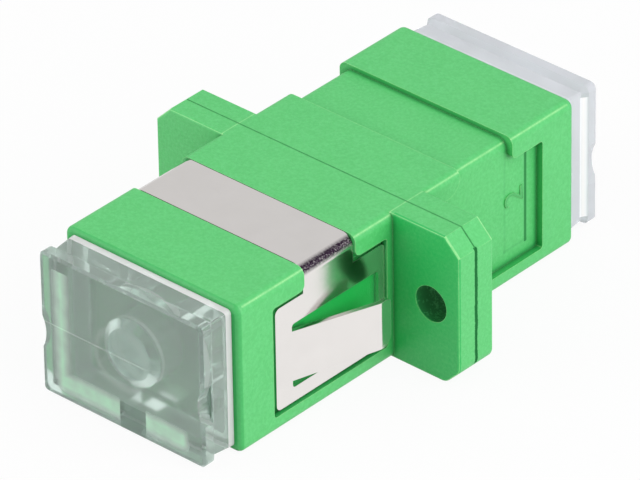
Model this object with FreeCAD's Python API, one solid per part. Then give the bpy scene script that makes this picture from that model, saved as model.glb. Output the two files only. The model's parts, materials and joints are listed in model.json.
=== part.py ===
import FreeCAD, Part
import math
import os

from FreeCAD import Vector

# Simplex SC fibre adapter with a mounting flange, a panel clip and two dust plugs.
#
# Millimetres. The origin is where the two ferrules meet: on the optical axis, in the plane where the
# two housing halves are welded. Y is the optical axis, with the front socket towards -Y, X runs along
# the flange and Z is up. The keyways of both sockets are at the bottom.
#
# Every sub-part is drawn for the rear half, with its socket mouth towards +Y. Front sub-parts are
# drawn the same way and mirrored, so "depth" below always counts from the weld plane outwards.

# Socket, which takes the rectangular plug
socket_width = 9.2
socket_height = 7.6
socket_corner_radius = 0.25
mouth_lead_in = 0.3
keyway_width = 2.1
keyway_length = 4.5

# Housing
side_wall = 1.7
top_wall = 0.88
half_length = 13.7
body_edge_radius = 0.5
mouth_edge_radius = 0.3

# Flange, half of it on each housing half
flange_half_thickness = 1.4
flange_corner_chamfer = 1.03
flange_bottom_radius = 0.7
flange_edge_radius = 0.15
seam_chamfer = 0.06
screw_hole_spacing = 18.0
screw_hole_diameter = 2.2
screw_hole_end_distance = 2.0

# Seats for the panel clip in the housing: a groove over the top and a recess down each side
clip_thickness = 0.3
clip_side_sink = 0.15
groove_corner_radius = 0.5
recess_corner_radius = 0.2
recess_flange_margin = 0.47
recess_mouth_margin = 2.65
recess_bottom_margin = 1.0
ear_drop = 1.38
front_groove_start = 4.41
front_groove_width = 4.1
rear_groove_start = 4.16
rear_groove_width = 4.35
ear_corner_radius = 0.35
front_tongue_radius = 0.45
rear_tongue_radius = 1.0

# Panel clip, in the sheet that its seats are cut for
clip_bend_radius = 0.42
strap_side_gap = 0.05
clip_mouth_gap = 0.35
clip_flange_gap = 0.05
clip_top_gap = 0.32
clip_bottom_gap = 0.18
clip_corner_radius = 0.35
window_flange_margin = 0.5
window_mouth_margin = 1.3
window_top_drop = 1.52
window_bottom_rise = 0.9
window_corner_radius = 0.2
tab_slot = 0.45
tab_flare = 1.7
tab_crest_length = 5.25
tab_tip_length = 0.8
tab_bend_radius = 0.15
tab_taper = 0.12
tab_upper_corner_radius = 0.3
tab_lower_corner_radius = 0.7

# Latch holder, one in each half
holder_plate_thickness = 1.2
holder_plate_ledge = 0.35
holder_fit_gap = 0.05
holder_corner_radius = 0.4
barrel_wall = 0.53
barrel_root = 0.4
barrel_lip_length = 0.5
barrel_lip_gap = 0.17
barrel_tip_chamfer = 0.25
arm_length = 6.2
arm_height = 3.8
arm_thickness = 0.85
arm_wall_gap = 0.22
arm_root_extra = 0.2
hook_depth = 0.65
hook_land = 0.3
hook_slope_length = 0.8
hook_edge_radius = 0.1
hook_root_radius = 0.2
arm_tip_radius = 0.2
arm_tip_inner_radius = 0.15
arm_spread_room = 0.55
arm_spread_margin = 0.35

# Split sleeve
sleeve_bore = 2.5
sleeve_wall = 0.35
sleeve_length = 11.4
sleeve_slit = 0.4
sleeve_end_chamfer = 0.08
sleeve_radial_gap = 0.12
sleeve_end_gap = 0.1

# Dust plug
plug_side_inset = 0.4
plug_top_inset = 0.18
plug_head_length = 2.5
plug_lip_length = 0.75
plug_neck_depth = 0.27
plug_neck_slope_length = 0.35
plug_rim_depth = 0.14
plug_head_corner_radius = 0.4
plug_face_edge = 0.15
plug_socket_gap = 0.05
plug_key_gap = 0.07
plug_shank_length = 3.0
plug_shank_chamfer = 0.3
plug_shank_corner_radius = 0.4
plug_bore_diameter = 4.1
plug_bore_end_chamfer = 0.5
plug_bore_web = 1.3
plug_scoop_depth = 0.4
plug_scoop_height = 2.5
plug_scoop_drop = 0.6

# Worked out from the sizes above
body_width = socket_width + 2 * side_wall
body_height = socket_height + 2 * top_wall
side_x = body_width / 2
top_z = body_height / 2
recess_start = flange_half_thickness + recess_flange_margin
recess_end = half_length - recess_mouth_margin
recess_x = side_x - clip_thickness - clip_side_sink
recess_bottom_z = -top_z + recess_bottom_margin
ear_z = top_z - ear_drop
flange_width = screw_hole_spacing + 2 * screw_hole_end_distance
holder_plate_width = socket_width + 2 * holder_plate_ledge
holder_plate_height = socket_height + 2 * holder_plate_ledge
arm_outer_x = socket_width / 2 - arm_wall_gap
arm_inner_x = arm_outer_x - arm_thickness
arm_tip = holder_plate_thickness + arm_length
sleeve_outer = sleeve_bore + 2 * sleeve_wall
chamber_diameter = sleeve_outer + 2 * sleeve_radial_gap
chamber_depth = sleeve_length / 2 + sleeve_end_gap
barrel_tip = chamber_depth + barrel_lip_length
barrel_diameter = chamber_diameter + 2 * barrel_wall
barrel_lip_bore = sleeve_bore + 2 * barrel_lip_gap
plug_face = half_length + plug_head_length
plug_head_width = body_width - 2 * plug_side_inset
plug_head_height = body_height - 2 * plug_top_inset
plug_shank_width = socket_width - 2 * plug_socket_gap
plug_shank_height = socket_height - 2 * plug_socket_gap
plug_key_width = keyway_width - 2 * plug_key_gap
beyond = 1.0


def bar(width, height, start, end, radius=0.0):
    """Bar along Y, centred on the optical axis, with its long edges rounded."""
    solid = Part.makeBox(width, end - start, height, Vector(-width / 2, start, -height / 2))
    if radius == 0.0:
        return solid
    return solid.makeFillet(radius, straight_edges(solid, Vector(0, 1, 0)))


def rod(diameter, start, end, x=0.0):
    """Round rod along Y."""
    return Part.makeCylinder(diameter / 2, end - start, Vector(x, start, 0), Vector(0, 1, 0))


def box_between(low, high):
    """Box from its lowest to its highest corner."""
    size = high.sub(low)
    return Part.makeBox(size.x, size.y, size.z, low)


def straight_edges(solid, direction):
    """Straight edges of a solid that run along a direction."""
    found = []
    for edge in solid.Edges:
        along = edge.tangentAt(edge.FirstParameter)
        if isinstance(edge.Curve, Part.Line) and abs(along.dot(direction)) > 0.999:
            found.append(edge)
    return found


def edges_in_plane(solid, y, half_width=math.inf, half_height=math.inf):
    """Edges that lie in the plane at this Y, no further out than the given half sizes."""
    slack = 1e-6
    found = []
    for edge in solid.Edges:
        room = edge.BoundBox
        flat = abs(room.YMin - y) < slack and abs(room.YMax - y) < slack
        inside_x = max(-room.XMin, room.XMax) < half_width + slack
        inside_z = max(-room.ZMin, room.ZMax) < half_height + slack
        if flat and inside_x and inside_z:
            found.append(edge)
    return found


def rounded_wire(corners):
    """Closed wire through (point, radius) corners, each radius a tangent arc."""
    edges = []
    ends = []
    for index, (point, radius) in enumerate(corners):
        to_last = corners[index - 1][0].sub(point).normalize()
        to_next = corners[(index + 1) % len(corners)][0].sub(point).normalize()
        if radius == 0.0:
            ends.append((point, point))
            continue
        half_angle = to_last.getAngle(to_next) / 2
        setback = radius / math.tan(half_angle)
        inwards = to_last.add(to_next).normalize()
        first = point.add(to_last * setback)
        middle = point.add(inwards * (radius / math.sin(half_angle) - radius))
        second = point.add(to_next * setback)
        edges.append(Part.Arc(first, middle, second).toShape())
        ends.append((first, second))
    for index, (first, second) in enumerate(ends):
        next_first = ends[(index + 1) % len(ends)][0]
        if second.distanceToPoint(next_first) > 1e-6:
            edges.append(Part.LineSegment(second, next_first).toShape())
    return Part.Wire(Part.__sortEdges__(edges))


def plate_between(corners, thickness):
    """Flat plate with a rounded outline, thickened by a vector."""
    return Part.Face(rounded_wire(corners)).extrude(thickness)


def side_outline(corners, x=0.0):
    """Corners (y, z, radius) of an outline seen from the side."""
    return [(Vector(x, y, z), radius) for y, z, radius in corners]


def both_sides(solid):
    """A shape on the +X side together with its mirror image on the -X side."""
    return [solid, solid.mirror(Vector(0, 0, 0), Vector(1, 0, 0))]


def to_front(solid):
    """Turn a rear sub-part into its front counterpart."""
    return solid.mirror(Vector(0, 0, 0), Vector(0, 1, 0))


def flange_half():
    """Flange half with cut corners, rounded at the outside and chamfered at the weld."""
    half = flange_width / 2
    cut = half - flange_corner_chamfer
    cut_z = top_z - flange_corner_chamfer
    outline = [
        (cut, -top_z, flange_bottom_radius), (half, -cut_z, flange_bottom_radius),
        (half, cut_z, 0.0), (cut, top_z, 0.0),
    ]
    outline += [(-x, z, radius) for x, z, radius in reversed(outline)]
    corners = [(Vector(x, 0, z), radius) for x, z, radius in outline]
    plate = plate_between(corners, Vector(0, flange_half_thickness, 0))
    plate = plate.makeChamfer(seam_chamfer, edges_in_plane(plate, 0.0))
    plate = plate.makeFillet(flange_edge_radius, edges_in_plane(plate, flange_half_thickness))
    holes = [
        rod(screw_hole_diameter, -beyond, flange_half_thickness + beyond, sign * screw_hole_spacing / 2)
        for sign in (-1, 1)
    ]
    return plate.cut(holes)


def clip_seats(groove_start, groove_width, tongue_radius):
    """Space of the groove over the top and of the T-shaped recesses down the sides."""
    groove_end = groove_start + groove_width
    above = top_z + beyond
    outline = side_outline([
        (recess_start, recess_bottom_z, recess_corner_radius),
        (recess_end, recess_bottom_z, recess_corner_radius),
        (recess_end, ear_z, recess_corner_radius),
        (groove_end, ear_z, ear_corner_radius),
        (groove_end, above, 0.0),
        (groove_start, above, 0.0),
        (groove_start, ear_z, tongue_radius),
        (recess_start, ear_z, recess_corner_radius),
    ])
    slice_through = plate_between(outline, Vector(side_x + beyond, 0, 0))
    core = bar(2 * recess_x, body_height - 2 * clip_thickness, 0.0, half_length, groove_corner_radius)
    return [side.cut(core) for side in both_sides(slice_through)]


def housing_half(groove_start, groove_width, tongue_radius):
    """One moulded half: socket, clip seats, flange half and the pocket for the latch holder."""
    body = bar(body_width, body_height, flange_half_thickness / 2, half_length, body_edge_radius)
    body = body.makeFillet(mouth_edge_radius, edges_in_plane(body, half_length))
    body = body.cut(clip_seats(groove_start, groove_width, tongue_radius))
    body = body.fuse(flange_half()).removeSplitter()

    socket = bar(socket_width, socket_height, 0.0, half_length + beyond, socket_corner_radius)
    body = body.cut(socket)
    mouth = edges_in_plane(body, half_length, socket_width / 2, socket_height / 2)
    body = body.makeChamfer(mouth_lead_in, mouth)

    pocket = bar(
        holder_plate_width + 2 * holder_fit_gap, holder_plate_height + 2 * holder_fit_gap,
        -beyond, holder_plate_thickness, holder_corner_radius
    )
    keyway = box_between(
        Vector(-keyway_width / 2, half_length - keyway_length, -top_z - beyond),
        Vector(keyway_width / 2, half_length + beyond, -socket_height / 2 + beyond)
    )
    spread_z = arm_height / 2 + arm_spread_margin
    spread_room = box_between(
        Vector(arm_inner_x, 0.0, -spread_z),
        Vector(socket_width / 2 + arm_spread_room, arm_tip + arm_spread_margin, spread_z)
    )
    return body.cut([pocket, keyway] + both_sides(spread_room))


def latch_arm():
    """Springy arm on the +X side, thicker at its root, with an inward hook at its tip."""
    tip_y = arm_tip
    hook_y = tip_y - hook_slope_length - hook_land
    hook_x = arm_inner_x - hook_depth
    root = holder_plate_thickness / 2
    corners = [
        (arm_outer_x, root, 0.0),
        (arm_outer_x, tip_y, arm_tip_radius),
        (arm_outer_x - arm_thickness / 2, tip_y, arm_tip_inner_radius),
        (hook_x, tip_y - hook_slope_length, hook_edge_radius),
        (hook_x, hook_y, 0.0),
        (arm_inner_x, hook_y, hook_root_radius),
        (arm_inner_x - arm_root_extra, root, 0.0),
    ]
    outline = [(Vector(x, y, -arm_height / 2), radius) for x, y, radius in corners]
    return plate_between(outline, Vector(0, 0, arm_height))


def latch_holder():
    """Base plate with two latch arms and half of the barrel that holds the sleeve."""
    plate = bar(holder_plate_width, holder_plate_height, 0.0, holder_plate_thickness, holder_corner_radius)
    body = plate.fuse(rod(barrel_diameter, 0.0, barrel_tip)).removeSplitter()
    ring = [
        edge for edge in edges_in_plane(body, holder_plate_thickness, barrel_diameter / 2)
        if isinstance(edge.Curve, Part.Circle)
    ]
    body = body.makeChamfer(barrel_root, ring)
    tip = edges_in_plane(body, barrel_tip, barrel_diameter / 2)
    body = body.makeChamfer(barrel_tip_chamfer, tip)

    chamber = rod(chamber_diameter, -beyond, chamber_depth)
    lip_bore = rod(barrel_lip_bore, -beyond, barrel_tip + beyond)
    lead_in = Part.makeCone(
        barrel_lip_bore / 2, barrel_lip_bore / 2 + barrel_tip_chamfer, barrel_tip_chamfer,
        Vector(0, barrel_tip - barrel_tip_chamfer, 0), Vector(0, 1, 0)
    )
    # The mould's core for the underside of each hook leaves a window through the plate.
    core_window = box_between(
        Vector(arm_inner_x - hook_depth, -beyond, -arm_height / 2),
        Vector(arm_inner_x - arm_root_extra, holder_plate_thickness + beyond, arm_height / 2)
    )
    body = body.cut([chamber, lip_bore, lead_in] + both_sides(core_window))
    return body.fuse(both_sides(latch_arm())).removeSplitter()


def alignment_sleeve():
    """Split tube, open along a slit at the top."""
    tube = rod(sleeve_outer, -sleeve_length / 2, sleeve_length / 2)
    tube = tube.makeChamfer(sleeve_end_chamfer, [e for e in tube.Edges if isinstance(e.Curve, Part.Circle)])
    slit = box_between(
        Vector(-sleeve_slit / 2, -sleeve_length, 0), Vector(sleeve_slit / 2, sleeve_length, sleeve_outer)
    )
    return tube.cut([rod(sleeve_bore, -sleeve_length, sleeve_length), slit])


def clip_strap(outer_x, start, end, bottom_z):
    """Strap over the top with a rounded bend at each shoulder and a leg down each side."""
    inner_x = outer_x - clip_thickness
    inner_top = top_z - clip_thickness
    outer_bend = clip_bend_radius + clip_thickness
    corners = [
        (-outer_x, bottom_z, 0.0), (-outer_x, top_z, outer_bend), (outer_x, top_z, outer_bend),
        (outer_x, bottom_z, 0.0), (inner_x, bottom_z, 0.0), (inner_x, inner_top, clip_bend_radius),
        (-inner_x, inner_top, clip_bend_radius), (-inner_x, bottom_z, 0.0),
    ]
    outline = [(Vector(x, start, z), radius) for x, z, radius in corners]
    return plate_between(outline, Vector(0, end - start, 0))


def clip_tab(outer_x, hinge_y, low_z, high_z):
    """Spring tab on the +X side: it flares out from its hinge, then turns back beside the body."""
    crest_y = hinge_y - tab_crest_length
    tip_y = crest_y - tab_tip_length
    crest_x = outer_x + tab_flare
    root_y = hinge_y + clip_thickness
    outer_bend = tab_bend_radius + clip_thickness
    # How much further along Y the inner faces of the sheet meet at each bend than the outer ones do
    slant = math.hypot(tab_crest_length, tab_flare) - tab_crest_length
    setback = slant * clip_thickness / tab_flare
    corners = [
        (outer_x, root_y, 0.0), (outer_x, hinge_y, 0.0), (crest_x, crest_y, outer_bend),
        (crest_x, tip_y, 0.0), (crest_x - clip_thickness, tip_y, 0.0),
        (crest_x - clip_thickness, crest_y + setback, tab_bend_radius),
        (outer_x - clip_thickness, hinge_y + setback, 0.0),
        (outer_x - clip_thickness, root_y, 0.0),
    ]
    outline = [(Vector(x, y, low_z), radius) for x, y, radius in corners]
    bent = plate_between(outline, Vector(0, 0, high_z - low_z))
    blank = plate_between(side_outline([
        (root_y, low_z, 0.0), (hinge_y, low_z, 0.0),
        (tip_y, low_z + tab_taper, tab_lower_corner_radius),
        (tip_y, high_z - tab_taper, tab_upper_corner_radius),
        (hinge_y, high_z, 0.0), (root_y, high_z, 0.0),
    ]), Vector(crest_x + beyond, 0, 0))
    return bent.common(blank)


def panel_clip():
    """One bent strip: strap over the top, a plate under the ear and tongue of each side, a tab in each."""
    outer_x = recess_x + clip_thickness
    strap_start = front_groove_start + strap_side_gap
    strap_end = front_groove_start + front_groove_width - strap_side_gap
    plate_start = recess_start + clip_flange_gap
    plate_end = recess_end - clip_mouth_gap
    plate_top = ear_z - clip_top_gap
    plate_bottom = recess_bottom_z + clip_bottom_gap
    plate = plate_between(side_outline([
        (plate_start, plate_bottom, clip_corner_radius), (plate_end, plate_bottom, clip_corner_radius),
        (plate_end, plate_top, clip_corner_radius), (plate_start, plate_top, clip_corner_radius),
    ], recess_x), Vector(clip_thickness, 0, 0))

    window_start = plate_start + window_flange_margin
    window_end = plate_end - window_mouth_margin
    window_top = plate_top - window_top_drop
    window_bottom = plate_bottom + window_bottom_rise
    window = plate_between(side_outline([
        (window_start, window_bottom, window_corner_radius),
        (window_end, window_bottom, window_corner_radius),
        (window_end, window_top, window_corner_radius),
        (window_start, window_top, window_corner_radius),
    ], recess_x - beyond), Vector(clip_thickness + 2 * beyond, 0, 0))
    tab = clip_tab(outer_x, window_end, window_bottom + tab_slot, window_top - tab_slot)

    strap = clip_strap(outer_x, strap_start, strap_end, plate_bottom + clip_corner_radius)
    blank = strap.fuse(both_sides(plate)).cut(both_sides(window))
    return blank.fuse(both_sides(tab)).removeSplitter()


def plug_neck():
    """Material left out round the plug's head: a slope behind the lip, then a waisted rim."""
    edge_x = plug_head_width / 2
    lip_back = plug_face - plug_lip_length
    profile = Part.makePolygon([
        Vector(edge_x, lip_back, 0),
        Vector(edge_x - plug_neck_depth, lip_back - plug_neck_slope_length, 0),
        Vector(edge_x - plug_rim_depth, half_length, 0),
        Vector(edge_x + plug_neck_depth, half_length, 0),
        Vector(edge_x + plug_neck_depth, lip_back, 0),
        Vector(edge_x, lip_back, 0),
    ])
    path = rounded_wire([
        (Vector(sign_x * edge_x, half_length, sign_z * plug_head_height / 2), plug_head_corner_radius)
        for sign_x, sign_z in ((1, -1), (1, 1), (-1, 1), (-1, -1))
    ])
    return path.makePipeShell([profile], True, False)


def dust_plug():
    """Plug: lip, waisted neck and rim outside, a keyed block with a blind bore in the socket."""
    head = bar(plug_head_width, plug_head_height, half_length, plug_face, plug_head_corner_radius)
    head = head.makeChamfer(plug_face_edge, edges_in_plane(head, plug_face))
    head = head.cut(plug_neck())

    chord = plug_scoop_height / 2
    scoop_radius = (chord ** 2 + plug_scoop_depth ** 2) / (2 * plug_scoop_depth)
    scoop_x = plug_head_width / 2 - plug_scoop_depth + scoop_radius
    scoop = Part.makeCylinder(
        scoop_radius, plug_lip_length + beyond,
        Vector(scoop_x, plug_face - plug_lip_length, -plug_scoop_drop), Vector(0, 1, 0)
    )
    shank_end = half_length - plug_shank_length
    shank = bar(
        plug_shank_width, plug_shank_height, shank_end, half_length + beyond, plug_shank_corner_radius
    )
    shank = shank.makeChamfer(plug_shank_chamfer, edges_in_plane(shank, shank_end))
    key = box_between(
        Vector(-plug_key_width / 2, shank_end + plug_shank_chamfer, -plug_head_height / 2),
        Vector(plug_key_width / 2, plug_face - plug_lip_length, 0)
    )
    bore_end = plug_face - plug_bore_web
    bore = rod(plug_bore_diameter, shank_end - beyond, bore_end)
    bore = bore.makeChamfer(plug_bore_end_chamfer, edges_in_plane(bore, bore_end))
    return head.cut(both_sides(scoop)).fuse([shank, key]).removeSplitter().cut(bore)


nodes = {
    "housing_front": to_front(housing_half(front_groove_start, front_groove_width, front_tongue_radius)),
    "housing_rear": housing_half(rear_groove_start, rear_groove_width, rear_tongue_radius),
    "latch_holder_front": to_front(latch_holder()),
    "latch_holder_rear": latch_holder(),
    "alignment_sleeve": alignment_sleeve(),
    "panel_clip": to_front(panel_clip()),
    "dust_plug_front": to_front(dust_plug()),
    "dust_plug_rear": dust_plug(),
}

os.makedirs("parts", exist_ok=True)
for name, shape in nodes.items():
    shape.exportStep(f"parts/{name}.step")
    print(f"{name}: {len(shape.Solids)} solid, {shape.Volume:.2f} mm3, valid {shape.isValid()}")
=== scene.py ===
import json
import math

import bmesh
import bpy
from mathutils import Matrix, Vector


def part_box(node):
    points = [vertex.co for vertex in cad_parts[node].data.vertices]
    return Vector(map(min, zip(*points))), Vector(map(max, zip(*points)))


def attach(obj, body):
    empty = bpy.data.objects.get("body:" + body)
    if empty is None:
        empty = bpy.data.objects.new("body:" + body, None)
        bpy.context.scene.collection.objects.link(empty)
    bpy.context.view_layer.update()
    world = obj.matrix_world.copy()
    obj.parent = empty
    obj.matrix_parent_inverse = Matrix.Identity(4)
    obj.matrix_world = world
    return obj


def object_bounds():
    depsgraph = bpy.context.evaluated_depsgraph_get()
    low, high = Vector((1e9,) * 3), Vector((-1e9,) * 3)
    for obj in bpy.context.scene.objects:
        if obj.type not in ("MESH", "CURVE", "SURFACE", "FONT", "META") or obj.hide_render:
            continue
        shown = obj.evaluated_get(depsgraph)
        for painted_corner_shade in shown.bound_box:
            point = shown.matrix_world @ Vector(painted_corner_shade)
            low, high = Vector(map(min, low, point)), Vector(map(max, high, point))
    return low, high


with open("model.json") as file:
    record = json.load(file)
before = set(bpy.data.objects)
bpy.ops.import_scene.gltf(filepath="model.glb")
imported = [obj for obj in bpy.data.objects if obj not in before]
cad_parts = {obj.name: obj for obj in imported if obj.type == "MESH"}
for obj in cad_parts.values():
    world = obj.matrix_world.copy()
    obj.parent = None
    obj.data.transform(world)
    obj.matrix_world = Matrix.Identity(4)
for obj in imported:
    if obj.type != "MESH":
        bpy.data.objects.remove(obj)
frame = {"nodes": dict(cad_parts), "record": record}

# Finishes, mould number and studio for the flanged SC fibre adapter. Metres, in the model's own frame:
# Y is the optical axis with the clip's end towards -Y, X runs along the flange and Z is up.

MM = 0.001
model_low, model_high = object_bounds()

# Places on the housings that the finishes mark

mouth_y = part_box("housing_rear")[1].y
top_face_z = 4.6 * MM
body_edge_x = 6.1 * MM
ear_start_x = 6.35 * MM
ear_slant_x = 6.6 * MM
flange_half_width = 11.0 * MM
past_flange_y = 1.6 * MM
flange_face_band = (-1.6 * MM, -1.25 * MM)
slit_foot_z = -4.25 * MM
seam_margin = 0.1 * MM
mouth_margin = 0.4 * MM
hole_offset = 9.0 * MM
hole_wall_radius = 1.13 * MM
hole_wall_half_depth = 1.32 * MM
clip_recess_x = 6.0 * MM
clip_recess_y = -1.5 * MM
socket_outside_x = 5.5 * MM
side_half_height = 4.2 * MM
recess_floor_x = 5.85 * MM
insert_low = (8.36 * MM, -2.8 * MM)
insert_high = (10.1 * MM, 3.7 * MM)

# Places on the clip and the dust plugs

clip_bend_x = 5.98 * MM
clip_bend_z = 4.1 * MM
clip_shoulder_z = 3.8 * MM
plug_face_y = abs(model_low.y)
plug_waist_y = plug_face_y - 0.98 * MM
plug_waist_x = 5.4 * MM
plug_waist_half_height = 3.9 * MM
plug_key_x = -0.75 * MM
plug_key_half_width = 0.92 * MM
plug_key_top = -2.7 * MM
plug_bore_radius = 1.82 * MM


# Shader maths

class Signal:
    """A socket inside a finish. Arithmetic on it adds Math nodes."""

    def __init__(self, finish, socket):
        self.finish = finish
        self.socket = socket

    def math(self, operation, *values, **settings):
        settings = {"operation": operation, **settings}
        return self.finish.node("ShaderNodeMath", settings, dict(enumerate(values)))

    def __add__(self, other):
        return self.math("ADD", self, other)

    def __sub__(self, other):
        return self.math("SUBTRACT", self, other)

    def __rsub__(self, other):
        return self.math("SUBTRACT", other, self)

    def __mul__(self, other):
        return self.math("MULTIPLY", self, other)

    def __truediv__(self, other):
        return self.math("DIVIDE", self, other)

    def __gt__(self, other):
        return self.math("GREATER_THAN", self, other)

    def __lt__(self, other):
        return self.math("LESS_THAN", self, other)

    def __abs__(self):
        return self.math("ABSOLUTE", self)

    __radd__ = __add__
    __rmul__ = __mul__

    def clamped(self):
        return self.math("ADD", self, 0.0, use_clamp=True)

    def power(self, exponent):
        return self.math("POWER", self, exponent)


def highest(*signals):
    """The greatest of several signals."""
    top = signals[0]
    for signal in signals[1:]:
        top = top.math("MAXIMUM", top, signal)
    return top


def near(signal, value, reach):
    """1 within reach of value, else 0."""
    return abs(signal - value) < reach


def between(signal, low, high):
    """1 from low to high, else 0."""
    return (signal > low) * (signal < high)


def soft_line(signal, value, half_width):
    """1 at value, falling to 0 at half_width from it."""
    return (1.0 - abs(signal - value) / half_width).clamped()


class Finish:
    """A material, or the world, with one method that adds any node."""

    def __init__(self, owner):
        owner.use_nodes = True
        self.owner = owner
        self.tree = owner.node_tree
        self.tree.nodes.clear()

    def node(self, kind, settings=None, inputs=None, output=0):
        made = self.tree.nodes.new(kind)
        for key, value in (settings or {}).items():
            setattr(made, key, value)
        for key, value in (inputs or {}).items():
            if isinstance(value, Signal):
                self.tree.links.new(value.socket, made.inputs[key])
            else:
                made.inputs[key].default_value = value
        return Signal(self, made.outputs[output]) if len(made.outputs) else None

    def position(self):
        """Place on the piece, in metres."""
        return self.node("ShaderNodeTexCoord", output="Object")

    def facing(self):
        """Direction that the surface faces, in the piece's own frame."""
        return self.node("ShaderNodeTexCoord", output="Normal")

    def axis(self, vector, name):
        return self.node("ShaderNodeSeparateXYZ", inputs={0: vector}, output=name)

    def axes(self, vector):
        return [self.axis(vector, name) for name in "XYZ"]

    def noise(self, place, size, detail=2.0, roughness=0.5, stretch=(1.0, 1.0, 1.0)):
        """Soft noise from 0 to 1 whose blotches are about this size in metres."""
        scaled = self.node("ShaderNodeMapping", inputs={"Vector": place, "Scale": stretch})
        return self.node("ShaderNodeTexNoise", inputs={
            "Vector": scaled, "Scale": 1.0 / size, "Detail": detail, "Roughness": roughness,
        })

    def blend(self, factor, first, second):
        """Colour between two colours."""
        return self.node(
            "ShaderNodeMix", {"data_type": "RGBA"}, {0: factor, 6: first, 7: second}, output=2
        )

    def bump(self, height, depth):
        """Normal for a relief of this depth in metres where height goes from 0 to 1."""
        return self.node("ShaderNodeBump", inputs={"Height": height, "Distance": depth, "Strength": 1.0})

    def sharp_edges(self, radius):
        """Mask that is 1 on outside and inside corners and 0 on flat faces."""
        rounded = self.node("ShaderNodeBevel", {"samples": 6}, {"Radius": radius})
        flat = self.node("ShaderNodeNewGeometry", output="Normal")
        alike = self.node(
            "ShaderNodeVectorMath", {"operation": "DOT_PRODUCT"}, {0: rounded, 1: flat}, output="Value"
        )
        return ((1.0 - alike) * 5.0).clamped()

    def enclosed(self, reach, own_walls_only=True):
        """Mask that is 0 in the open and rises to 1 where walls stand within this reach."""
        settings = {"samples": 6, "only_local": own_walls_only}
        return 1.0 - self.node("ShaderNodeAmbientOcclusion", settings, {"Distance": reach}, output="AO")

    def principled(self, **inputs):
        named = {key.replace("_", " "): value for key, value in inputs.items()}
        return self.node("ShaderNodeBsdfPrincipled", inputs=named)

    def surface(self, shader):
        kind = "World" if isinstance(self.owner, bpy.types.World) else "Material"
        self.node("ShaderNodeOutput" + kind, inputs={"Surface": shader})
        return self.owner


# Green plastic

body_green = (0.070, 0.50, 0.130, 1.0)
cloud_green = (0.092, 0.55, 0.150, 1.0)
speck_green = (0.12, 0.62, 0.20, 1.0)
shaded_ear_green = (0.005, 0.45, 0.085, 1.0)
bounce_lit_recess_green = (0.0, 0.50, 0.075, 1.0)
painted_shade_green = (0.0, 0.34, 0.06, 1.0)
wear_and_highlight_green = (0.42, 0.86, 0.36, 1.0)
shade_and_seam_green = (0.0, 0.17, 0.03, 1.0)
hollow_reach = 3.0 * MM
corner_reach = 0.35 * MM
clip_shade_reach = 0.45 * MM


def insert_marks(x, y, z):
    """Mask of the fine outline that the number insert leaves on the rear recess floor, and of its number."""
    line = 0.14 * MM
    on_floor = near(x, recess_floor_x, 0.04 * MM)
    inside_y = between(y, insert_low[0] - line, insert_high[0] + line)
    inside_z = between(z, insert_low[1] - line, insert_high[1] + line)
    rear = (soft_line(y, insert_high[0], line) * 1.8).clamped()
    front = soft_line(y, insert_low[0], line) * 0.18
    ends = (soft_line(z, insert_low[1], line) + soft_line(z, insert_high[1], line)) * 0.22
    raised = near(x, recess_floor_x + 0.1 * MM, 0.06 * MM) * inside_y * inside_z * 0.3
    return (rear * inside_z + front * inside_z + ends * inside_y).clamped() * on_floor * 0.85 + raised


def rounded_edges(finish, x):
    """Mask along the middle of each rounded edge, left off the flange's slanted corners."""
    sides = [abs(side) for side in finish.axes(finish.facing())]
    slanted = (abs(x) > ear_slant_x) * (sides[1] < 0.05)
    return ((1.0 - highest(*sides) - 0.17) * 9.0).clamped() * (1.0 - slanted)


def edge_lines(finish, x, y, z):
    """Mask of the paler edges, partly wear and partly painted highlight, less the seam and the mouths. The
    body's edge is carried over the flange.
    """
    crossing = soft_line(abs(x), body_edge_x, 0.06 * MM) * (abs(y) < past_flange_y) * (z > top_face_z)
    off_seam = (abs(y) > seam_margin) * (abs(y) < mouth_y - mouth_margin)
    return (rounded_edges(finish, x) + finish.sharp_edges(0.08 * MM)) * off_seam + crossing


def weld_line(x, y, z, patch, speck):
    """Mask of the weld between the halves: a fine seam, and a ragged slit on the flange's ends."""
    seam = (abs(y) < 0.045 * MM) * (0.35 + 0.5 * patch)
    wander = 0.12 * MM * (patch - 0.5)
    half_width = 0.04 * MM + 0.16 * MM * speck
    on_end = (abs(x) > flange_half_width - 0.1 * MM) * (z > slit_foot_z)
    return highest((abs(y + wander) < half_width) * on_end, seam)


def screw_hole_walls(x, y, z):
    """Mask of the two screw holes' walls, less the last of each mouth, where the walls get painted shade."""
    across = abs(x) - hole_offset
    radius = (across * across + z * z).power(0.5)
    return (radius < hole_wall_radius) * (abs(y) < hole_wall_half_depth)


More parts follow.
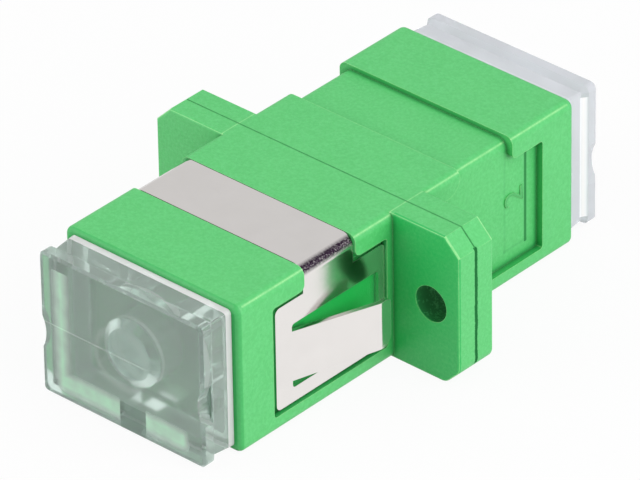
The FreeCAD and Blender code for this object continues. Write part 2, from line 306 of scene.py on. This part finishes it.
def green_plastic():
    """Satin moulded plastic: fine eroded grain, paler edges that are partly wear and partly painted
    highlight, dark weld and insert marks, painted shade in corners, gaps, hollows, screw holes, on the right
    ear's front and under the clip, and painted bounce light on the clip recess floor.
    """
    finish = Finish(bpy.data.materials.new("green_plastic"))
    place = finish.position()
    x, y, z = finish.axes(place)
    cloud = finish.noise(place, 2.5 * MM, detail=3.0)
    grain = finish.noise(place, 0.11 * MM, detail=3.0, roughness=0.65)
    speck = finish.noise(place, 0.2 * MM, detail=3.0, roughness=0.7)
    patch = finish.noise(place, 0.7 * MM, detail=2.0)

    clip_recess = (abs(x) < clip_recess_x) * (y < clip_recess_y)
    # Painted bounce light: the clip recess floor beside the socket is painted a deeper green.
    painted_recess_bounce = clip_recess * (abs(x) > socket_outside_x) * (abs(z) < side_half_height) * 0.85
    # Painted shade: the right ear's front face beside the body is painted darker.
    painted_ear_shade = (x > ear_start_x) * between(y, *flange_face_band) * (0.95 - 0.9 * (speck - 0.35)).clamped()
    # Painted shade in hollows and along the housing's mouths.
    painted_hollow_shade = (finish.enclosed(hollow_reach) * 1.5 - 0.16).clamped() * (1.0 - 0.8 * clip_recess)
    mouth = (abs(y) > mouth_y - 0.22 * MM) * 0.45
    # Paler edges: partly wear, partly painted highlight.
    wear_and_highlight = (edge_lines(finish, x, y, z) * (0.12 + 1.5 * patch * grain)).clamped()

    colour = finish.blend(cloud, body_green, cloud_green)
    colour = finish.blend(((speck - 0.5) * 4.0 + 0.4).clamped() * 0.6, colour, speck_green)
    colour = finish.blend(painted_ear_shade, colour, shaded_ear_green)
    colour = finish.blend(painted_recess_bounce, colour, bounce_lit_recess_green)
    colour = finish.blend(highest(painted_hollow_shade, mouth), colour, painted_shade_green)
    colour = finish.blend(wear_and_highlight, colour, wear_and_highlight_green)

    marks = highest(weld_line(x, y, z, patch, speck), insert_marks(x, y, z))
    # Painted shade on the screw hole walls, broken by paler flecks.
    bore = screw_hole_walls(x, y, z) * (1.0 - 0.45 * (speck > 0.54) * (patch > 0.5))
    # Painted shade in corners, and a painted shadow of the clip in its recess.
    painted_corner_shade = (finish.enclosed(corner_reach) * 2.0 - 0.12).clamped() * 0.85
    painted_clip_shadow = finish.enclosed(clip_shade_reach, own_walls_only=False) * clip_recess * 1.3
    dark = highest(painted_corner_shade, marks, bore, painted_clip_shadow).clamped()
    return finish.surface(finish.principled(
        Base_Color=finish.blend(dark, colour, shade_and_seam_green),
        Roughness=0.34 + 0.2 * grain + 0.4 * dark,
        IOR=1.55,
        Normal=finish.bump(grain + 0.4 * speck, 0.016 * MM),
        Subsurface_Weight=0.05,
        Subsurface_Radius=(0.25, 1.0, 0.35),
        Subsurface_Scale=0.3 * MM,
    ))


# Spring steel

strip_steel = (0.80, 0.77, 0.75, 1.0)
cloud_steel = (0.85, 0.82, 0.80, 1.0)
painted_bend_reflection_steel = (0.04, 0.02, 0.045, 1.0)


def spring_steel():
    """Bright rolled strip with a very fine grain, coarse where it is bent over the edge, where a dark
    reflection is painted on.
    """
    finish = Finish(bpy.data.materials.new("spring_steel"))
    place = finish.position()
    x, z = finish.axis(place, "X"), finish.axis(place, "Z")
    grain = finish.noise(place, 0.05 * MM, detail=2.0)
    crinkle = finish.noise(place, 0.11 * MM, detail=3.0, roughness=0.7)
    cloud = finish.noise(place, 1.4 * MM, detail=2.0)
    edge = finish.sharp_edges(0.05 * MM)

    bend = (abs(x) > clip_bend_x) * (z > clip_bend_z)
    relief = grain * (1.0 - bend) + crinkle * bend * 10.0
    upward = finish.axis(finish.facing(), "Z")
    turned_over = ((0.93 - upward) * 6.0).clamped() * ((upward - 0.08) * 3.0).clamped()
    # Painted reflection: the turned-over bend is painted dark, as if it mirrored something dark.
    dark = turned_over * (z > clip_shoulder_z) * (0.88 + 2.2 * (crinkle - 0.47)).clamped()
    return finish.surface(finish.principled(
        Base_Color=finish.blend(dark, finish.blend(cloud, strip_steel, cloud_steel), painted_bend_reflection_steel),
        Metallic=1.0,
        Roughness=0.09 + 0.07 * grain + 0.2 * edge,
        Normal=finish.bump(relief, 0.0016 * MM),
    ))


# Clear soft plastic

green_cast_front_tint = (0.78, 0.94, 0.87, 1.0)
rear_tint = (0.86, 0.89, 0.94, 1.0)
key_shade_tint = (0.22, 0.36, 0.30, 1.0)
green_cast_front_frost = (0.85, 0.93, 0.88, 1.0)
rear_frost = (0.86, 0.88, 0.93, 1.0)
pale_frost_and_highlight = (0.97, 0.93, 0.95, 1.0)
painted_mouth_green = (0.38, 0.86, 0.50, 1.0)
mouth_side_x = 4.35 * MM
mouth_side_z = (-3.3 * MM, 3.7 * MM)
ledge_z = -3.25 * MM
ledge_half_height = 0.8 * MM
ledge_end_x = 4.9 * MM
ledge_fade = 0.5 * MM
flow_line_z = 0.1 * MM
flow_line_end_x = 1.7 * MM


def painted_mouth_show_through(x, z, outwards):
    """Mask of painted light: the housing's mouth painted as it shows through a plug's head, a side and a
    ledge beside the key.
    """
    side = soft_line(outwards, mouth_side_x, 0.75 * MM) * between(z, *mouth_side_z)
    ledge = (soft_line(z, ledge_z, ledge_half_height) * 1.5).clamped()
    beside_key = abs(outwards - plug_key_x) > plug_key_half_width + 0.03 * MM
    ledge_end = ((ledge_end_x - abs(x)) / ledge_fade).clamped()
    return highest(side, ledge * beside_key * ledge_end)


def clear_soft_plastic():
    """Cloudy clear plastic of the dust plugs, more frosted round the rim, with a painted green cast on the
    front plug.
    """
    finish = Finish(bpy.data.materials.new("clear_soft_plastic"))
    place = finish.position()
    x, y, z = finish.axes(place)
    wave = finish.noise(place, 1.2 * MM, detail=1.0)
    mist = finish.noise(place, 0.8 * MM, detail=3.0)
    across = abs(finish.axis(finish.facing(), "Y"))
    rear = (y / MM).clamped()
    front = 1.0 - rear
    outwards = x * (rear - front)
    on_face = (across > 0.9) * (abs(y) > plug_face_y - 0.05 * MM)

    # Painted light and shade: the housing's mouth, the plug's own key and its bore are painted on the face
    # as they show through it
    painted_mouth_glow = painted_mouth_show_through(x, z, outwards) * (0.45 + 0.6 * mist) * on_face
    key_shade = near(outwards, plug_key_x, plug_key_half_width) * (z < plug_key_top) * on_face
    painted_bore_ring = soft_line((x * x + z * z).power(0.5), plug_bore_radius, 0.25 * MM) * on_face
    flow_line = soft_line(z, flow_line_z, 0.04 * MM) * (x < flow_line_end_x) * front * on_face
    cloudy = 0.05 * mist * on_face

    # Painted highlight on the rear waist, more frost round the rim, and a pale band on the edge that seats
    # on the mouth
    at_waist = (abs(x) > plug_waist_x) * (abs(z) < plug_waist_half_height)
    painted_waist_highlight = soft_line(y, plug_waist_y, 0.24 * MM) * at_waist
    seat_rim = between(abs(y), mouth_y, mouth_y + 0.4 * MM)
    rim = ((0.72 + 0.2 * rear - across) * 6.0).clamped() * highest(0.10 + 0.42 * rear, seat_rim * 0.6)
    pale_rim_and_highlight = (seat_rim * front + painted_waist_highlight).clamped()

    normal = finish.bump(wave, 0.003 * MM)
    # Painted green cast: the front plug's clear and frosted colours are greener than the rear's, standing in
    # for light from the green housing.
    tint = finish.blend(rear, green_cast_front_tint, rear_tint)
    clear = finish.principled(
        Base_Color=finish.blend(key_shade * 0.7, tint, key_shade_tint),
        Roughness=0.08 + 0.05 * wave + 0.09 * on_face,
        IOR=1.49,
        Transmission_Weight=0.84,
        Normal=normal,
    )
    frost = finish.blend(pale_rim_and_highlight, finish.blend(rear, green_cast_front_frost, rear_frost), pale_frost_and_highlight)
    frosted = finish.principled(
        Base_Color=finish.blend(painted_mouth_glow.clamped() * 0.85, frost, painted_mouth_green),
        Roughness=0.35 + 0.1 * wave,
        IOR=1.49,
        Normal=normal,
    )
    through_face = cloudy + painted_mouth_glow * 0.75 + painted_bore_ring * 0.1 + flow_line * 0.35
    return finish.surface(finish.node("ShaderNodeMixShader", inputs={
        0: (rim + through_face + painted_waist_highlight).clamped(), 1: clear, 2: frosted,
    }))


# Zirconia

ground_zirconia = (0.80, 0.79, 0.75, 1.0)
bright_zirconia = (0.86, 0.85, 0.81, 1.0)


def zirconia():
    """Ground white ceramic of the alignment sleeve."""
    finish = Finish(bpy.data.materials.new("zirconia"))
    grind = finish.noise(finish.position(), 0.04 * MM, detail=2.0, stretch=(1.0, 12.0, 1.0))
    return finish.surface(finish.principled(
        Base_Color=finish.blend(grind, ground_zirconia, bright_zirconia),
        Roughness=0.22 + 0.1 * grind,
        Normal=finish.bump(grind, 0.001 * MM),
    ))


finishes = {
    "green_plastic": green_plastic(),
    "spring_steel": spring_steel(),
    "clear_soft_plastic": clear_soft_plastic(),
    "zirconia": zirconia(),
}


# Model nodes

def dress_model():
    """Each node of the model takes the finish of its material slot."""
    for part in frame["record"]["subparts"]:
        mesh = frame["nodes"][part["node"]].data
        mesh.materials.clear()
        mesh.materials.append(finishes[part["material_slot"]])


# Mould number

number_height = 2.2 * MM
number_thickness = 0.04 * MM
number_rounding = 0.03 * MM
number_thinning = -0.04 * MM
number_rise = 0.02 * MM
number_shift = 0.08 * MM
merge_distance = 0.0005 * MM


def number_place():
    """Middle of the number insert, turned so that the number's top is towards the flange."""
    middle = Vector((
        recess_floor_x + number_rise,
        (insert_low[0] + insert_high[0]) / 2 - number_shift,
        (insert_low[1] + insert_high[1]) / 2,
    ))
    turned = Matrix(((0, 0, 1), (0, -1, 0), (1, 0, 0))).to_4x4()
    return Matrix.Translation(middle) @ turned


def mould_number():
    """Small raised number on the rear recess floor."""
    text = bpy.data.curves.new("mould_number", "FONT")
    text.body = "2"
    text.size = number_height
    text.align_x = "CENTER"
    text.align_y = "CENTER"
    text.extrude = number_thickness
    text.bevel_depth = number_rounding
    text.offset = number_thinning
    holder = bpy.data.objects.new("mould_number_text", text)
    mesh = bpy.data.meshes.new_from_object(holder)
    bpy.data.objects.remove(holder)
    mesh.transform(number_place())
    form = bmesh.new()
    form.from_mesh(mesh)
    bmesh.ops.remove_doubles(form, verts=form.verts, dist=merge_distance)
    bmesh.ops.recalc_face_normals(form, faces=form.faces)
    form.to_mesh(mesh)
    form.free()
    mesh.name = "mould_number"
    mesh.materials.clear()
    mesh.materials.append(finishes["green_plastic"])
    piece = bpy.data.objects.new("mould_number", mesh)
    bpy.context.scene.collection.objects.link(piece)
    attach(piece, "adapter")


# Studio

white = (1.0, 1.0, 1.0, 1.0)
floor_grey = (0.8, 0.8, 0.8, 1.0)
floor_height = model_low.z - 0.02 * MM
floor_half_width = 0.6
stand_half_width = 6.3 * MM
stand_half_length = 15.0 * MM
floor_white_share = 0.93
world_strength = 0.72
lamp_reach = 0.25
lamp_width = 0.2


def direction(azimuth, elevation):
    """Unit vector from the adapter; azimuth 0 is towards -Y and 90 towards +X."""
    turn = math.radians(azimuth)
    rise = math.radians(elevation)
    return Vector((math.sin(turn) * math.cos(rise), -math.cos(turn) * math.cos(rise), math.sin(rise)))


def white_to_the_camera(finish, shader, share, mirrored_share, uncovered=1.0):
    """Part of a surface shows as plain white to the camera and, where uncovered, behind clear plastic."""
    camera = finish.node("ShaderNodeLightPath", output="Is Camera Ray")
    through = finish.node("ShaderNodeLightPath", output="Is Transmission Ray")
    mirrored = finish.node("ShaderNodeLightPath", output="Is Glossy Ray")
    plain_white = finish.node("ShaderNodeEmission", inputs={"Color": white, "Strength": 1.0})
    return finish.node("ShaderNodeMixShader", inputs={
        0: (camera + through * uncovered + mirrored * mirrored_share).clamped() * share,
        1: shader,
        2: plain_white,
    })


def studio_world():
    """Even pale surroundings, plain white where the camera sees them."""
    world = bpy.data.worlds.new("studio")
    bpy.context.scene.world = world
    finish = Finish(world)
    soft = finish.node("ShaderNodeBackground", inputs={"Color": white, "Strength": world_strength})
    finish.surface(white_to_the_camera(finish, soft, share=1.0, mirrored_share=0.0))


def studio_floor():
    """Wide pale floor under the adapter, dull where the adapter stands on it."""
    finish = Finish(bpy.data.materials.new("studio_floor"))
    place = finish.position()
    x, y = finish.axis(place, "X"), finish.axis(place, "Y")
    covered = near(x, 0.0, stand_half_width) * near(y, 0.0, stand_half_length)
    matt = finish.node("ShaderNodeBsdfDiffuse", inputs={"Color": floor_grey})
    finish.surface(white_to_the_camera(
        finish, matt, share=floor_white_share, mirrored_share=1.0, uncovered=1.0 - covered * 0.8
    ))
    half = floor_half_width
    corners = [(-half, -half), (half, -half), (half, half), (-half, half)]
    mesh = bpy.data.meshes.new("studio_floor")
    mesh.from_pydata([(x, y, floor_height) for x, y in corners], [], [(0, 1, 2, 3)])
    mesh.materials.append(finish.owner)
    floor = bpy.data.objects.new("studio_floor", mesh)
    bpy.context.scene.collection.objects.link(floor)


def soft_box(name, azimuth, elevation, power):
    """Square soft lamp that looks at the adapter. Azimuth 0 is in front of it, 90 to its right."""
    data = bpy.data.lights.new(name, "AREA")
    data.size = lamp_width
    data.energy = power
    lamp = bpy.data.objects.new(name, data)
    towards = direction(azimuth, elevation)
    lamp.location = towards * lamp_reach
    lamp.rotation_euler = towards.to_track_quat("Z", "Y").to_euler()
    lamp.visible_transmission = False
    bpy.context.scene.collection.objects.link(lamp)


# Camera

camera_azimuth = 42.222
camera_elevation = 32.861
camera_roll = -0.946
camera_distance = 419.645 * MM
camera_aim = (-0.183 * MM, -0.310 * MM)
camera_lens = 432.7
sensor_width = 36.0


def studio_camera():
    """Long lens that looks down on the clip's end and the flange's right side."""
    data = bpy.data.cameras.new("camera")
    data.sensor_width = sensor_width
    data.lens = camera_lens
    data.clip_start = 0.01
    data.clip_end = 10.0
    camera = bpy.data.objects.new("camera", data)
    back = direction(camera_azimuth, camera_elevation)
    turn = math.radians(camera_azimuth)
    level = Vector((math.cos(turn), math.sin(turn), 0.0))
    upright = back.cross(level)
    roll = math.radians(camera_roll)
    right = math.cos(roll) * level + math.sin(roll) * upright
    up = back.cross(right)
    place = back * camera_distance + right * camera_aim[0] + up * camera_aim[1]
    camera.matrix_world = Matrix.Translation(place) @ Matrix((right, up, back)).transposed().to_4x4()
    bpy.context.scene.collection.objects.link(camera)
    bpy.context.scene.camera = camera


dress_model()
mould_number()
studio_world()
studio_floor()
soft_box("lamp_right", azimuth=95, elevation=33, power=0.36)
soft_box("lamp_left", azimuth=-40, elevation=27, power=0.20)
studio_camera()
bpy.context.scene.view_settings.view_transform = "Standard"
